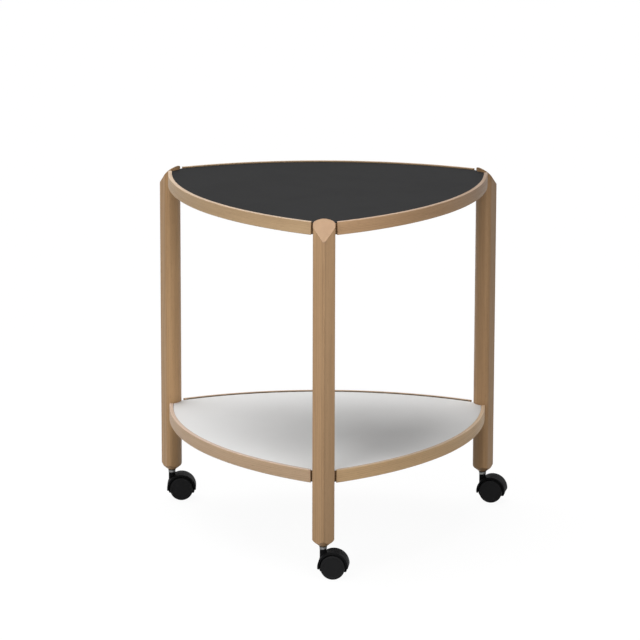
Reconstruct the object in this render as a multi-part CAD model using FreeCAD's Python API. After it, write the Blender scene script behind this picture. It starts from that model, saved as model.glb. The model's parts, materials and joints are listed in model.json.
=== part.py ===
"""Rolling table with three ridged oak legs, two rounded-triangle trays and hooded twin-wheel casters.

The table is modelled about its own vertical axis, with the floor at zero height and one leg in front.
At the end all pieces move sideways together, so that the origin lies under the middle of the table's box.
"""
import FreeCAD
import Part
import math
import os

# Whole table
table_height = 600.0
shelf_top_height = 178.9
leg_circle_radius = 317.2
leg_rise_over_tray = 5.5
front_azimuth_deg = -90.0
leg_spacing_deg = 120.0

# Leg section, measured from the leg's own axis, and its two ends
leg_width = 36.5
leg_inner_depth = 15.0
leg_inner_bulge = 5.8
leg_side_flat = 8.0
leg_ridge_reach = 22.8
leg_ridge_round = 3.0
leg_side_round = 9.0
leg_inner_round = 5.0
leg_cap_slope_deg = 42.5
leg_cap_edge_round = 0.5
leg_foot_flat_radius = 7.4
leg_foot_slope_deg = 38.0
leg_foot_round = 13.0
leg_foot_shoulder = 0.8

# Tray outline and its layers
tray_corner_reach = 1.6
tray_arc_radius = 517.0
band_thickness = 6.5
band_edge_round = 1.0
band_leg_gap = 2.7
lip_rise = 1.9
laminate_thickness = 0.8
core_thickness = 18.0
backing_thickness = 0.8
glue_line = 0.2
leg_seat_gap = 0.2
laminate_leg_reveal = 1.2

# Bolted and dowelled joint between a tray corner and its leg
bolt_radius = 3.0
bolt_hole_gap = 0.3
bolt_head_radius = 5.0
bolt_head_height = 5.5
bolt_key_flats = 5.0
bolt_key_sides = 6
bolt_key_depth = 3.0
bolt_tip_gap = 1.0
insert_radius = 4.5
insert_length = 13.0
insert_recess = 0.8
insert_end_gap = 0.5
thread_gap = 0.05
pocket_radius = 12.0
pocket_distance = 38.0
pocket_roof = 3.0
washer_height = 11.0
washer_flat_offset = 6.5
washer_seat_gap = 0.1
dowel_radius = 3.0
dowel_pitch = 18.0
dowel_in_leg = 13.0
dowel_in_board = 16.0
dowel_end_gap = 0.5
dowel_side_gap = 0.05
dowel_chamfer = 0.6

# Caster wheels and axle
wheel_radius = 20.3
wheel_width = 11.7
wheel_rim_wall = 3.2
wheel_rim_round = 2.0
wheel_inner_chamfer = 0.6
wheel_disc_wall = 2.4
wheel_face_ring_radius = 15.8
wheel_face_step = 0.5
wheel_hub_radius = 5.2
wheel_rib_thickness = 1.4
wheel_rib_setback = 1.0
wheel_rib_count = 6
axle_radius = 2.5
axle_cover = 0.9
axle_end_gap = 0.3
axle_chamfer = 0.4
running_gap = 0.05
wheel_side_gap = 0.3

# Caster hood and its neck
caster_trail = 17.0
hood_wheel_gap = 1.6
hood_wall = 3.6
hood_edge_round = 2.4
hood_side_inset = 0.4
hood_front_tip_drop = 3.4
hood_rear_tip_drop = 1.7
hood_tip_round = 1.2
hood_web_drop = 10.0
hood_boss_half_width = 6.0
hood_web_inset = 0.6
hood_boss_radius = 5.6
hood_pocket_wall = 3.0
hood_pocket_side_wall = 1.8
hood_pocket_start_deg = -60.0
hood_pocket_end_deg = 78.0
neck_radius = 5.75
neck_rise = 27.0
neck_edge_round = 0.6
neck_floor_depth = 20.0

# Caster stem, its socket in the leg and the ring that grips it
swivel_gap = 0.3
collar_radius = 6.2
collar_height = 4.0
collar_edge_round = 0.6
journal_radius = 3.5
journal_wall_gap = 0.05
snap_rib_depth = 0.5
snap_rib_height = 1.6
snap_rib_drop = 12.0
shank_radius = 4.0
shank_length = 34.0
shank_chamfer = 1.0
socket_wall = 1.4
socket_length = 38.0
socket_flange_radius = 6.6
socket_flange_thickness = 2.2
socket_flange_round = 0.5
socket_hole_extra = 2.0
ring_drop = 5.0
ring_height = 1.8
ring_thickness = 0.75
ring_side_gap = 0.2
ring_opening_deg = 60.0

# How far each caster has swivelled, as trail directions about the upward axis
front_trail_deg = -4.7
rear_left_trail_deg = 1.6
rear_right_trail_deg = -10.7

# One overrun past the faces that a cut goes through, and how closely picked edges have to lie
overrun = 5.0
match_tolerance = 0.002

# Heights that follow from the sizes above
leg_width_half = leg_width / 2
neck_top = wheel_radius + neck_rise
collar_bottom = neck_top + swivel_gap
collar_top = collar_bottom + collar_height
leg_bottom = collar_top + socket_flange_thickness
upper_tray_top = table_height - leg_rise_over_tray
band_height = lip_rise + laminate_thickness + core_thickness + backing_thickness

# Directions of the three corners and of their casters
leg_azimuths_deg = {
    "front": front_azimuth_deg,
    "rear_left": front_azimuth_deg - leg_spacing_deg,
    "rear_right": front_azimuth_deg + leg_spacing_deg,
}
trail_directions_deg = {
    "front": front_trail_deg,
    "rear_left": rear_left_trail_deg,
    "rear_right": rear_right_trail_deg,
}

# Plan geometry that follows from the sizes above
half_spacing = math.radians(leg_spacing_deg) / 2
tray_corner_radius = leg_circle_radius + tray_corner_reach
tray_side_half = tray_corner_radius * math.sin(half_spacing)
tray_arc_rise = math.sqrt(tray_arc_radius**2 - tray_side_half**2)
tray_arc_centre = tray_arc_rise - tray_corner_radius * math.cos(half_spacing)
leg_inner_radius = (leg_width_half**2 + leg_inner_bulge**2) / (2 * leg_inner_bulge)
band_end_offset = leg_width_half + band_leg_gap
wheel_inner_side = hood_boss_half_width + wheel_side_gap
wheel_outer_side = wheel_inner_side + wheel_width
hood_inner_radius = wheel_radius + hood_wheel_gap
hood_outer_radius = hood_inner_radius + hood_wall
hood_half_width = wheel_outer_side - hood_side_inset
hood_front_tip_height = wheel_radius - hood_front_tip_drop
hood_rear_tip_height = wheel_radius - hood_rear_tip_drop
hood_web_bottom = wheel_radius - hood_web_drop
hood_front_clear = caster_trail - hood_outer_radius - overrun
hood_rear_clear = caster_trail + hood_outer_radius + overrun
axle_half_length = wheel_outer_side - wheel_face_step - axle_cover - axle_end_gap

UP = FreeCAD.Vector(0, 0, 1)
ORIGIN = FreeCAD.Vector(0, 0, 0)


def point(x, y, z):
    """A point or a direction."""
    return FreeCAD.Vector(x, y, z)


def cylinder_up(radius, bottom, top, x=0.0, y=0.0):
    """An upright cylinder between two heights."""
    return Part.makeCylinder(radius, top - bottom, point(x, y, bottom), UP)


def cylinder_along_x(radius, start, end, y, z):
    """A cylinder along X between two places."""
    return Part.makeCylinder(radius, end - start, point(start, y, z), point(1, 0, 0))


def block(x_range, y_range, z_range):
    """A box from its three ranges."""
    size = [high - low for low, high in (x_range, y_range, z_range)]
    return Part.makeBox(*size, point(x_range[0], y_range[0], z_range[0]))


def turned(outline):
    """A solid of revolution about Z from closed edges that lie in the XZ plane."""
    face = Part.Face(Part.Wire(outline))
    return face.revolve(ORIGIN, UP, 360)


def straight_edges(points):
    """Straight edges from point to point."""
    pairs = zip(points[:-1], points[1:])
    return [Part.LineSegment(a, b).toShape() for a, b in pairs]


def arc_edge(first, middle, last):
    """An arc through three points."""
    return Part.Arc(first, middle, last).toShape()


def at_leg(shape, corner):
    """Places a shape made about a leg's axis, outward along +X, at one corner of the table."""
    placed = shape.copy()
    placed.translate(point(leg_circle_radius, 0, 0))
    placed.rotate(ORIGIN, UP, leg_azimuths_deg[corner])
    return placed


def round_upright_edges(shape, radius, x_low, x_high):
    """Rounds the straight upright edges that stand between two places along X."""
    chosen = []
    for edge in shape.Edges:
        ends = [vertex.Point for vertex in edge.Vertexes]
        if len(ends) != 2 or not isinstance(edge.Curve, (Part.Line, Part.LineSegment)):
            continue
        drift = math.hypot(ends[0].x - ends[1].x, ends[0].y - ends[1].y)
        upright = drift < match_tolerance
        if upright and x_low < ends[0].x < x_high:
            chosen.append(edge)
    return shape.makeFillet(radius, chosen)


def edges_in_plane(shape, base, normal):
    """The edges whose ends and middle lie in one plane."""
    chosen = []
    for edge in shape.Edges:
        middle = edge.valueAt((edge.FirstParameter + edge.LastParameter) / 2)
        places = [vertex.Point for vertex in edge.Vertexes] + [middle]
        if all(abs((place - base).dot(normal)) < match_tolerance for place in places):
            chosen.append(edge)
    return chosen


def leg_section_face():
    """The leg's section: a ridge outward, two short side flats and a bowed inner side."""
    corner_depth = leg_inner_bulge - leg_inner_depth
    side_front = corner_depth + leg_side_flat
    inner_left = point(corner_depth, -leg_width_half, leg_bottom)
    inner_middle = point(-leg_inner_depth, 0, leg_bottom)
    inner_right = point(corner_depth, leg_width_half, leg_bottom)
    side_right = point(side_front, leg_width_half, leg_bottom)
    ridge = point(leg_ridge_reach, 0, leg_bottom)
    side_left = point(side_front, -leg_width_half, leg_bottom)
    edges = [arc_edge(inner_left, inner_middle, inner_right)]
    edges += straight_edges([inner_right, side_right, ridge, side_left, inner_left])
    return Part.Face(Part.Wire(edges))


def leg_foot_envelope():
    """A turned body whose lower end gives the leg its chamfered foot."""
    slope = math.radians(leg_foot_slope_deg)
    shoulder_radius = leg_ridge_reach + leg_foot_shoulder
    arc_start_radius = shoulder_radius - leg_foot_round * (1 - math.sin(slope))
    arc_start_height = leg_bottom + (arc_start_radius - leg_foot_flat_radius) * math.tan(slope)
    arc_centre_radius = shoulder_radius - leg_foot_round
    arc_centre_height = arc_start_height + leg_foot_round * math.cos(slope)
    half_turn = (math.pi / 2 - slope) / 2
    arc_middle = point(
        arc_centre_radius + leg_foot_round * math.cos(half_turn),
        0,
        arc_centre_height - leg_foot_round * math.sin(half_turn),
    )
    bottom_middle = point(0, 0, leg_bottom)
    bottom_edge = point(leg_foot_flat_radius, 0, leg_bottom)
    arc_start = point(arc_start_radius, 0, arc_start_height)
    arc_end = point(shoulder_radius, 0, arc_centre_height)
    top_edge = point(shoulder_radius, 0, table_height + overrun)
    top_middle = point(0, 0, table_height + overrun)
    outline = straight_edges([bottom_middle, bottom_edge, arc_start])
    outline.append(arc_edge(arc_start, arc_middle, arc_end))
    outline += straight_edges([arc_end, top_edge, top_middle, bottom_middle])
    return turned(outline)


def cap_cutter():
    """The wedge above the leg's slanted cap, which falls outward from the inner side."""
    drop = math.tan(math.radians(leg_cap_slope_deg))
    inner = -leg_inner_depth - overrun
    outer = leg_ridge_reach + overrun
    high = table_height + overrun * drop
    low = table_height - (outer + leg_inner_depth) * drop
    side = -leg_width_half - overrun
    outline = straight_edges(
        [
            point(inner, side, high),
            point(outer, side, low),
            point(outer, side, high + overrun),
            point(inner, side, high + overrun),
            point(inner, side, high),
        ]
    )
    return Part.Face(Part.Wire(outline)).extrude(point(0, leg_width + 2 * overrun, 0))


def joint_heights():
    """The height of the bolts and dowels in the middle of each tray's core."""
    core_middle = lip_rise + laminate_thickness + core_thickness / 2
    return {
        "upper": upper_tray_top - core_middle,
        "lower": shelf_top_height - core_middle,
    }


def dowel_sides():
    """The sideways places of the two dowels in a joint."""
    return [-dowel_pitch / 2, dowel_pitch / 2]


def leg_inner_surface(side):
    """How far out the leg's inner side lies, at a sideways distance from the leg's axis."""
    bow = leg_inner_radius - math.sqrt(leg_inner_radius**2 - side**2)
    return bow - leg_inner_depth


def make_leg():
    """One oak leg, with its socket hole and the holes of both tray joints."""
    corner_depth = leg_inner_bulge - leg_inner_depth
    side_front = corner_depth + leg_side_flat
    leg = leg_section_face().extrude(point(0, 0, table_height - leg_bottom))
    leg = round_upright_edges(leg, leg_ridge_round, leg_ridge_reach / 2, leg_ridge_reach + overrun)
    leg = round_upright_edges(leg, leg_side_round, side_front - leg_side_flat / 4, leg_ridge_reach / 2)
    leg = round_upright_edges(leg, leg_inner_round, -leg_inner_depth, corner_depth + leg_side_flat / 4)
    leg = leg.cut(cap_cutter())
    slope = math.radians(leg_cap_slope_deg)
    cap_base = point(-leg_inner_depth, 0, table_height)
    cap_normal = point(math.sin(slope), 0, math.cos(slope))
    leg = leg.makeFillet(leg_cap_edge_round, edges_in_plane(leg, cap_base, cap_normal))
    leg = leg.common(leg_foot_envelope())
    socket_hole_radius = shank_radius + running_gap + socket_wall + running_gap
    hole_top = leg_bottom + socket_length + socket_hole_extra
    holes = [cylinder_up(socket_hole_radius, leg_bottom - overrun, hole_top)]
    inner = -leg_inner_depth
    for height in joint_heights().values():
        insert_end = inner + insert_recess + insert_length + insert_end_gap
        insert_hole = insert_radius + dowel_side_gap
        holes.append(cylinder_along_x(insert_hole, inner - overrun, insert_end, 0, height))
        for side in dowel_sides():
            end = leg_inner_surface(side) + dowel_in_leg + dowel_end_gap
            radius = dowel_radius + dowel_side_gap
            holes.append(cylinder_along_x(radius, inner - overrun, end, side, height))
    return leg.cut(holes)


def tray_outline_solid(inset, bottom, top):
    """The rounded triangle that three equal discs share, drawn in from the bands' outer faces."""
    discs = []
    for azimuth in leg_azimuths_deg.values():
        direction = math.radians(azimuth)
        x = tray_arc_centre * math.cos(direction)
        y = tray_arc_centre * math.sin(direction)
        discs.append(cylinder_up(tray_arc_radius - inset, bottom, top, x, y))
    return discs[0].common(discs[1]).common(discs[2])


def notch_at_leg(corner, gap, bottom, top):
    """The space that a leg's bowed inner side needs at a tray corner, with a gap round it."""
    centre = leg_inner_radius - leg_inner_depth
    space = cylinder_up(leg_inner_radius + gap, bottom - overrun, top + overrun, centre)
    return at_leg(space, corner)


def pocket_at_leg(corner, bottom, top):
    """The round bolt pocket in a tray's underside, behind one leg."""
    centre = -leg_inner_depth - pocket_distance
    return at_leg(cylinder_up(pocket_radius, bottom, top, centre), corner)


def tray_slab(inset, leg_gap, bottom, top):
    """A flat layer of a tray, cut back round the three legs."""
    slab = tray_outline_solid(inset, bottom, top)
    return slab.cut([notch_at_leg(corner, leg_gap, bottom, top) for corner in leg_azimuths_deg])


def make_board(tray, tray_top):
    """The core board of a tray, with bolt pockets, bolt holes and dowel holes."""
    top = tray_top - lip_rise - laminate_thickness
    bottom = top - core_thickness
    board = tray_slab(band_thickness + glue_line, leg_seat_gap, bottom, top)
    height = joint_heights()[tray]
    holes = []
    for corner in leg_azimuths_deg:
        holes.append(pocket_at_leg(corner, bottom - overrun, top - pocket_roof))
        start = -leg_inner_depth - pocket_distance
        bolt_hole = cylinder_along_x(bolt_radius + bolt_hole_gap, start, 0, 0, height)
        holes.append(at_leg(bolt_hole, corner))
        for side in dowel_sides():
            start = leg_inner_surface(side) - dowel_in_board - dowel_end_gap
            radius = dowel_radius + dowel_side_gap
            holes.append(at_leg(cylinder_along_x(radius, start, 0, side, height), corner))
    return board.cut(holes)


def make_top_laminate(tray_top):
    """The laminate sheet that lies sunk below the bands' lip."""
    top = tray_top - lip_rise
    return tray_slab(band_thickness + glue_line, laminate_leg_reveal, top - laminate_thickness, top)


def make_backing(tray_top):
    """The laminate sheet under a tray, open at the bolt pockets."""
    bottom = tray_top - band_height
    top = bottom + backing_thickness
    sheet = tray_slab(band_thickness + glue_line, laminate_leg_reveal, bottom, top)
    corners = leg_azimuths_deg
    return sheet.cut([pocket_at_leg(corner, bottom - overrun, top + overrun) for corner in corners])


def make_band(opposite, tray_top):
    """The bent oak band along the side that faces away from one leg."""
    bottom = tray_top - band_height
    ring = cylinder_up(tray_arc_radius, bottom, tray_top, tray_arc_centre)
    ring = ring.cut(cylinder_up(tray_arc_radius - band_thickness, bottom, tray_top, tray_arc_centre))
    ring.rotate(ORIGIN, UP, leg_azimuths_deg[opposite])
    ends = [corner for corner in leg_azimuths_deg if corner != opposite]
    reach = 2 * tray_arc_radius
    heights = (bottom - overrun, tray_top + overrun)
    keep = tray_outline_solid(0, bottom, tray_top)
    band = ring.common(keep)
    for corner in ends:
        gap = block((-leg_circle_radius, reach), (-band_end_offset, band_end_offset), heights)
        band = band.cut(at_leg(gap, corner))
    return round_band_face(band, opposite)


def round_band_face(band, opposite):
    """Softens the edges round a band's outer face."""
    direction = math.radians(leg_azimuths_deg[opposite])
    middle = point(tray_arc_centre * math.cos(direction), tray_arc_centre * math.sin(direction), 0)
    chosen = []
    for edge in band.Edges:
        halfway = edge.valueAt((edge.FirstParameter + edge.LastParameter) / 2)
        places = [vertex.Point for vertex in edge.Vertexes] + [halfway]
        reaches = [math.hypot(place.x - middle.x, place.y - middle.y) for place in places]
        if all(reach > tray_arc_radius - band_edge_round / 2 for reach in reaches):
            chosen.append(edge)
    return band.makeFillet(band_edge_round, chosen)


def washer_face():
    """How far out the flat face of a half-round washer lies from the leg's axis."""
    return -leg_inner_depth - pocket_distance + washer_flat_offset


def make_bolt(height):
    """A socket-head bolt from its washer into the leg's insert."""
    seat = washer_face()
    tip = insert_recess + insert_length - bolt_tip_gap - leg_inner_depth
    head_start = seat - bolt_head_height
    bolt = cylinder_along_x(bolt_radius, seat, tip, 0, height)
    bolt = bolt.fuse(cylinder_along_x(bolt_head_radius, head_start, seat, 0, height))
    key_radius = bolt_key_flats / 2 / math.cos(math.pi / bolt_key_sides)
    corners = []
    for step in range(bolt_key_sides + 1):
        turn = 2 * math.pi * step / bolt_key_sides
        y = key_radius * math.cos(turn)
        z = height + key_radius * math.sin(turn)
        corners.append(point(head_start, y, z))
    key = Part.Face(Part.makePolygon(corners)).extrude(point(bolt_key_depth, 0, 0))
    return bolt.cut(key)


def make_washer(height):
    """A half-round washer that fills the leg side of a bolt pocket."""
    centre = -leg_inner_depth - pocket_distance
    low = height - washer_height / 2
    high = height + washer_height / 2
    disc = cylinder_up(pocket_radius - washer_seat_gap, low, high, centre)
    far = centre + pocket_radius + overrun
    slab = block((washer_face(), far), (-pocket_radius, pocket_radius), (low, high))
    hole = cylinder_along_x(bolt_radius + bolt_hole_gap, centre, far, 0, height)
    return disc.common(slab).cut(hole)


def make_insert(height):
    """A threaded insert set into the leg's inner side."""
    start = insert_recess - leg_inner_depth
    body = cylinder_along_x(insert_radius, start, start + insert_length, 0, height)
    bore = bolt_radius + thread_gap
    return body.cut(cylinder_along_x(bore, start - overrun, start + insert_length + overrun, 0, height))


def make_dowel(height, side):
    """A beech dowel across the joint between a tray and its leg."""
    start = leg_inner_surface(side) - dowel_in_board
    length = dowel_in_board + dowel_in_leg
    dowel = cylinder_along_x(dowel_radius, start, start + length, side, height)
    rims = [edge for edge in dowel.Edges if isinstance(edge.Curve, Part.Circle)]
    return dowel.makeChamfer(dowel_chamfer, rims)


def at_every_leg(shape):
    """Copies of one shape at the three corners, as one group of separate solids."""
    return Part.Compound([at_leg(shape, corner) for corner in leg_azimuths_deg])


def make_wheel(outward):
    """One wheel of a pair, to the table's front (-1) or back (1): a closed disc with ribs inside."""
    outline = wheel_outline()
    wheel = turned(outline)
    inner_top = wheel_width - wheel_disc_wall
    outer = wheel_radius - wheel_rim_wall / 2
    half = wheel_rib_thickness / 2
    inner = (wheel_hub_radius + axle_radius) / 2
    for step in range(wheel_rib_count):
        rib = block((inner, outer), (-half, half), (wheel_rib_setback, inner_top + wheel_disc_wall / 2))
        rib.rotate(ORIGIN, UP, 360 * step / wheel_rib_count)
        wheel = wheel.fuse(rib)
    wheel = wheel.removeSplitter()
    wheel.translate(point(0, 0, wheel_inner_side))
    turn = -90 if outward > 0 else 90
    wheel.rotate(ORIGIN, point(1, 0, 0), turn)
    wheel.translate(point(caster_trail, 0, wheel_radius))
    return wheel


def wheel_outline():
    """Half of a wheel's section, with the axle along Z and the inner side at zero."""
    rim_inside = wheel_radius - wheel_rim_wall
    disc_inside = wheel_width - wheel_disc_wall
    bore = axle_radius + running_gap
    bore_end = axle_half_length + axle_end_gap - wheel_inner_side
    round_low = wheel_width - wheel_rim_round
    round_in = wheel_radius - wheel_rim_round
    sloped = math.sqrt(0.5)
    round_middle = point(round_in + wheel_rim_round * sloped, 0, round_low + wheel_rim_round * sloped)
    face_height = wheel_width - wheel_face_step
    ring_out = wheel_face_ring_radius + wheel_face_step
    outline = straight_edges(
        [
            point(0, 0, bore_end),
            point(0, 0, face_height),
            point(wheel_face_ring_radius, 0, face_height),
            point(ring_out, 0, wheel_width),
            point(round_in, 0, wheel_width),
        ]
    )
    round_start = point(round_in, 0, wheel_width)
    round_end = point(wheel_radius, 0, round_low)
    outline.append(arc_edge(round_start, round_middle, round_end))
    outline += straight_edges(
        [
            round_end,
            point(wheel_radius, 0, wheel_inner_chamfer),
            point(wheel_radius - wheel_inner_chamfer, 0, 0),
            point(rim_inside, 0, 0),
            point(rim_inside, 0, disc_inside),
            point(wheel_hub_radius, 0, disc_inside),
            point(wheel_hub_radius, 0, 0),
            point(bore, 0, 0),
            point(bore, 0, bore_end),
            point(0, 0, bore_end),
        ]
    )
    return outline


def make_axle():
    """The steel axle through the hood, with a wheel on each end."""
    length = 2 * axle_half_length
    start = point(caster_trail, -axle_half_length, wheel_radius)
    axle = Part.makeCylinder(axle_radius, length, start, point(0, 1, 0))
    rims = [edge for edge in axle.Edges if isinstance(edge.Curve, Part.Circle)]
    return axle.makeChamfer(axle_chamfer, rims)


def across_caster(radius, half_width, turn_deg=360):
    """A cylinder about the wheel axis, or a sector of one, centred between the wheels."""
    start = point(caster_trail, -half_width, wheel_radius)
    return Part.makeCylinder(radius, 2 * half_width, start, point(0, 1, 0), turn_deg)


def below_hood(height, start, end):
    """The space lower than one height, over a stretch of the hood's length."""
    return block(
        (start, end),
        (-hood_half_width - overrun, hood_half_width + overrun),
        (wheel_radius - hood_outer_radius - overrun, height),
    )


def hood_guard():
    """The curved guard over both wheels, with rounded outer rims and rounded tips."""
    guard = across_caster(hood_outer_radius, hood_half_width)
    rims = [edge for edge in guard.Edges if isinstance(edge.Curve, Part.Circle)]
    guard = guard.makeFillet(hood_edge_round, rims)
    room = across_caster(hood_inner_radius, hood_half_width + overrun)
    below_front = below_hood(hood_front_tip_height, hood_front_clear, caster_trail)
    below_rear = below_hood(hood_rear_tip_height, caster_trail, hood_rear_clear)
    guard = guard.cut([room, below_front, below_rear])
    tips = edges_in_plane(guard, point(0, 0, hood_front_tip_height), UP)
    tips += edges_in_plane(guard, point(0, 0, hood_rear_tip_height), UP)
    return guard.makeFillet(hood_tip_round, tips)


def hood_pocket():
    """The hollow that lightens the web between the wheels, open below on the trailing side."""
    half = neck_radius - hood_web_inset - hood_pocket_side_wall
    outer = hood_inner_radius - hood_pocket_wall
    inner = hood_boss_radius + hood_pocket_wall
    ring = across_caster(outer, half).cut(across_caster(inner, half + overrun))
    sector = across_caster(hood_outer_radius, half + overrun, hood_pocket_end_deg - hood_pocket_start_deg)
    sector.rotate(point(caster_trail, 0, wheel_radius), point(0, 1, 0), 90 - hood_pocket_end_deg)
    return ring.common(sector)


def journal_bottom():
    """The height of the stem's lower end inside the hood's neck."""
    return neck_top - neck_floor_depth + swivel_gap


def snap_rib_heights():
    """The lower and upper height of the rib that holds the stem in the neck."""
    top = neck_top - snap_rib_drop
    return top - snap_rib_height, top


def make_hood():
    """The moulded hood: a guard over both wheels, the web between them and the neck."""
    web = across_caster((hood_inner_radius + hood_outer_radius) / 2, neck_radius - hood_web_inset)
    web = web.cut(below_hood(hood_web_bottom, hood_front_clear, hood_rear_clear))
    neck = cylinder_up(neck_radius, hood_front_tip_height, neck_top)
    rims = edges_in_plane(neck, point(0, 0, neck_top), UP)
    neck = neck.makeFillet(neck_edge_round, rims)
    hood = hood_guard().fuse(web).fuse(neck)
    hood = hood.fuse(across_caster(hood_boss_radius, hood_boss_half_width))
    rib_low, rib_high = snap_rib_heights()
    bore = journal_radius + journal_wall_gap
    neck_floor = neck_top - neck_floor_depth
    holes = [
        cylinder_up(bore, neck_floor, rib_low),
        cylinder_up(bore - snap_rib_depth, rib_low - overrun, rib_high + overrun),
        cylinder_up(bore, rib_high, neck_top + overrun),
        across_caster(axle_radius + running_gap, hood_boss_half_width + overrun),
        hood_pocket(),
    ]
    return hood.cut(holes).removeSplitter()


def make_stem():
    """The turned steel stem: shank, collar and the journal that the hood swivels on."""
    rib_low, rib_high = snap_rib_heights()
    groove = journal_radius - snap_rib_depth
    shank = cylinder_up(shank_radius, collar_top, collar_top + shank_length)
    top_rim = edges_in_plane(shank, point(0, 0, collar_top + shank_length), UP)
    shank = shank.makeChamfer(shank_chamfer, top_rim)
    collar = cylinder_up(collar_radius, collar_bottom, collar_top)
    rims = [edge for edge in collar.Edges if isinstance(edge.Curve, Part.Circle)]
    collar = collar.makeFillet(collar_edge_round, rims)
    journal = cylinder_up(journal_radius, journal_bottom(), collar_bottom)
    waist = cylinder_up(journal_radius + overrun, rib_low - swivel_gap, rib_high + swivel_gap)
    waist = waist.cut(cylinder_up(groove, rib_low - overrun, rib_high + overrun))
    low, high = grip_ring_heights()
    ring_seat = cylinder_up(shank_radius + overrun, low - ring_side_gap, high + ring_side_gap)
    ring_seat = ring_seat.cut(cylinder_up(shank_radius - ring_thickness, low - overrun, high + overrun))
    return shank.fuse(collar).fuse(journal).cut([waist, ring_seat]).removeSplitter()


def grip_ring_heights():
    """The lower and upper height of the spring ring near the shank's top."""
    high = collar_top + shank_length - ring_drop
    return high - ring_height, high


def make_grip_ring():
    """The split spring ring that keeps the stem in its socket."""
    low, high = grip_ring_heights()
    ring = cylinder_up(shank_radius, low, high)
    ring = ring.cut(cylinder_up(shank_radius - ring_thickness + running_gap, low - overrun, high + overrun))
    opening = Part.makeCylinder(shank_radius + overrun, ring_height, point(0, 0, low), UP, ring_opening_deg)
    return ring.cut(opening)


def make_socket():
    """The flanged sleeve pressed into the leg's foot."""
    outer = shank_radius + running_gap + socket_wall
    sleeve = cylinder_up(outer, leg_bottom, leg_bottom + socket_length)
    flange = cylinder_up(socket_flange_radius, collar_top, leg_bottom)
    rims = [edge for edge in flange.Edges if isinstance(edge.Curve, Part.Circle)]
    flange = flange.makeFillet(socket_flange_round, rims)
    bore_top = leg_bottom + socket_length + overrun
    bore = cylinder_up(shank_radius + running_gap, collar_top - overrun, bore_top)
    return sleeve.fuse(flange).cut(bore).removeSplitter()


def at_caster(shape, corner):
    """Places a shape made about a caster's stem, trailing along +X, under one leg."""
    placed = shape.copy()
    placed.rotate(ORIGIN, UP, trail_directions_deg[corner])
    direction = math.radians(leg_azimuths_deg[corner])
    x = leg_circle_radius * math.cos(direction)
    y = leg_circle_radius * math.sin(direction)
    placed.translate(point(x, y, 0))
    return placed


def tray_nodes(tray, tray_top):
    """Every piece of one tray and of its joints to the legs."""
    height = joint_heights()[tray]
    opposites = {"rear": "front", "left": "rear_right", "right": "rear_left"}
    nodes = {f"{tray}_band_{side}": make_band(corner, tray_top) for side, corner in opposites.items()}
    dowels = [at_every_leg(make_dowel(height, side)) for side in dowel_sides()]
    nodes[f"{tray}_board"] = make_board(tray, tray_top)
    nodes[f"{tray}_top_laminate"] = make_top_laminate(tray_top)
    nodes[f"{tray}_under_laminate"] = make_backing(tray_top)
    nodes[f"{tray}_bolts"] = at_every_leg(make_bolt(height))
    nodes[f"{tray}_half_round_washers"] = at_every_leg(make_washer(height))
    nodes[f"{tray}_leg_inserts"] = at_every_leg(make_insert(height))
    nodes[f"{tray}_dowels"] = Part.Compound([solid for group in dowels for solid in group.Solids])
    return nodes


def caster_nodes():
    """Every piece of the three casters."""
    pieces = {
        "socket": make_socket(),
        "stem": make_stem(),
        "grip_ring": make_grip_ring(),
        "hood": make_hood(),
        "axle": make_axle(),
        "wheel_near": make_wheel(-1),
        "wheel_far": make_wheel(1),
    }
    nodes = {}
    for corner in leg_azimuths_deg:
        for piece, shape in pieces.items():
            nodes[f"caster_{corner}_{piece}"] = at_caster(shape, corner)
    return nodes


def build_nodes():
    """All pieces of the table, about the table's own axis."""
    leg = make_leg()
    nodes = {f"leg_{corner}": at_leg(leg, corner) for corner in leg_azimuths_deg}
    nodes.update(tray_nodes("upper", upper_tray_top))
    nodes.update(tray_nodes("lower", shelf_top_height))
    nodes.update(caster_nodes())
    return nodes


def main():
    """Builds the pieces, centres the table's box over the origin and writes the files."""
    nodes = build_nodes()
    whole = Part.Compound(list(nodes.values())).optimalBoundingBox(True, False)
    middle = point((whole.XMin + whole.XMax) / 2, (whole.YMin + whole.YMax) / 2, 0)
    os.makedirs("parts", exist_ok=True)
    for name, shape in nodes.items():
        shape.translate(-middle)
        shape.exportStep(f"parts/{name}.step")
        solids = shape.Solids
        print(name, "solids", len(solids), "valid", shape.isValid(), "volume", round(shape.Volume, 1))
    print("table axis at", round(-middle.x, 4), round(-middle.y, 4))
    print("box", round(whole.XLength, 2), round(whole.YLength, 2), round(whole.ZLength, 2))


main()
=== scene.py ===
"""Looks of a three-legged rolling table: oak legs and bands, laminate trays and hooded twin-wheel casters.

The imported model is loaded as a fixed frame, each sub-assembly dresses its own pieces, and a studio with one
camera is set round them. All sizes are in metres.
"""
import json
import logging
import math
from dataclasses import dataclass
from enum import Enum
from typing import Any, Sequence, Union

import bmesh
import bpy
from mathutils import Matrix, Vector

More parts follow.
